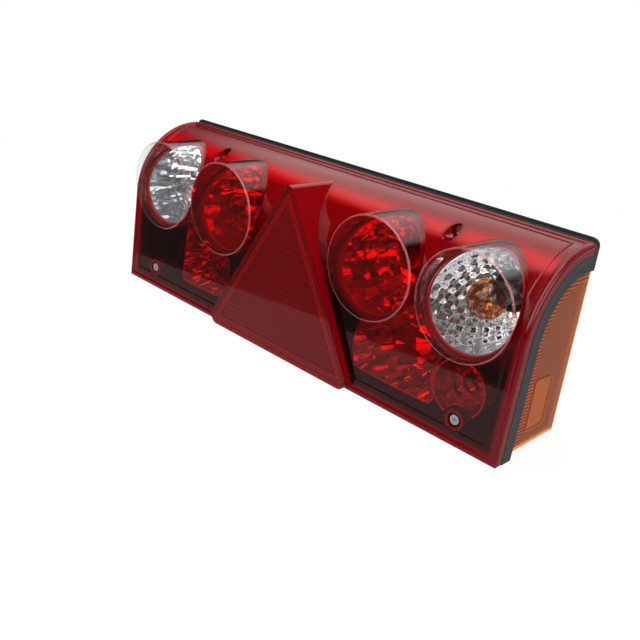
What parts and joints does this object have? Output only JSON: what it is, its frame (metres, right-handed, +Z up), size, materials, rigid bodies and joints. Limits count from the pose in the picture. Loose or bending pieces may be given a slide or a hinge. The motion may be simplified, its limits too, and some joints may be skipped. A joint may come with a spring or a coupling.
{
  "type": "tail light cluster",
  "caption": "Trailer rear lamp with a wrap-over red lens, four round chambers, a triangular reflector and an amber side marker.",
  "frame": {"origin": "on the housing's flat back face, midway between the two mounting studs", "axes": "+X along the lamp's length towards its side marker, +Y out of the back along the studs, +Z up; the lens faces -Y"},
  "size_m": [0.4002, 0.1005, 0.1401],
  "materials": {
    "black_plastic": "moulded, fine grain",
    "black_rubber": "satin",
    "red_lens": "clear red, polished",
    "clear_lens": "clear, polished",
    "red_reflex": "red, prisms behind a polished face",
    "amber_lens": "clear amber, polished",
    "metallised": "metallised plastic, faceted",
    "bulb_glass": "clear",
    "amber_glass": "clear amber",
    "nickel_brass": "nickel plated",
    "strip_brass": "pressed strip",
    "screw_steel": "stainless, bright",
    "stud_steel": "zinc plated"
  },
  "bodies": {
    "root": {"housing": "black_plastic", "lens_gasket": "black_rubber", "lens_body": "red_lens", "reverse_window": "clear_lens", "fog_window": "red_lens", "stop_window": "red_lens", "indicator_window": "clear_lens", "triangle_reflector": "red_reflex", "side_marker_lens": "amber_lens", "reverse_reflector": "metallised", "fog_reflector": "metallised", "stop_reflector": "metallised", "indicator_reflector": "metallised", "left_tail_reflector": "metallised", "right_tail_reflector": "metallised", "right_ring_reflector": "metallised", "reflector_panel": "metallised", "reverse_bulb": "bulb_glass", "fog_bulb": "bulb_glass", "stop_bulb": "bulb_glass", "indicator_bulb": "amber_glass", "left_tail_bulb": "bulb_glass", "right_tail_bulb": "bulb_glass", "marker_bulb": "bulb_glass", "reverse_cap": "nickel_brass", "fog_cap": "nickel_brass", "stop_cap": "nickel_brass", "indicator_cap": "nickel_brass", "left_tail_cap": "nickel_brass", "right_tail_cap": "nickel_brass", "reverse_holder": "strip_brass", "fog_holder": "strip_brass", "stop_holder": "strip_brass", "indicator_holder": "strip_brass", "left_tail_holder": "strip_brass", "right_tail_holder": "strip_brass", "marker_holder": "black_plastic", "earth_strip": "strip_brass", "supply_strip": "strip_brass", "lens_screws": "screw_steel", "screw_seals": "black_rubber", "mounting_studs": "stud_steel", "connector_socket": "black_plastic", "connector_pins": "strip_brass", "connector_seal": "black_rubber", "vent_plug": "black_plastic"}
  },
  "joints": []
}
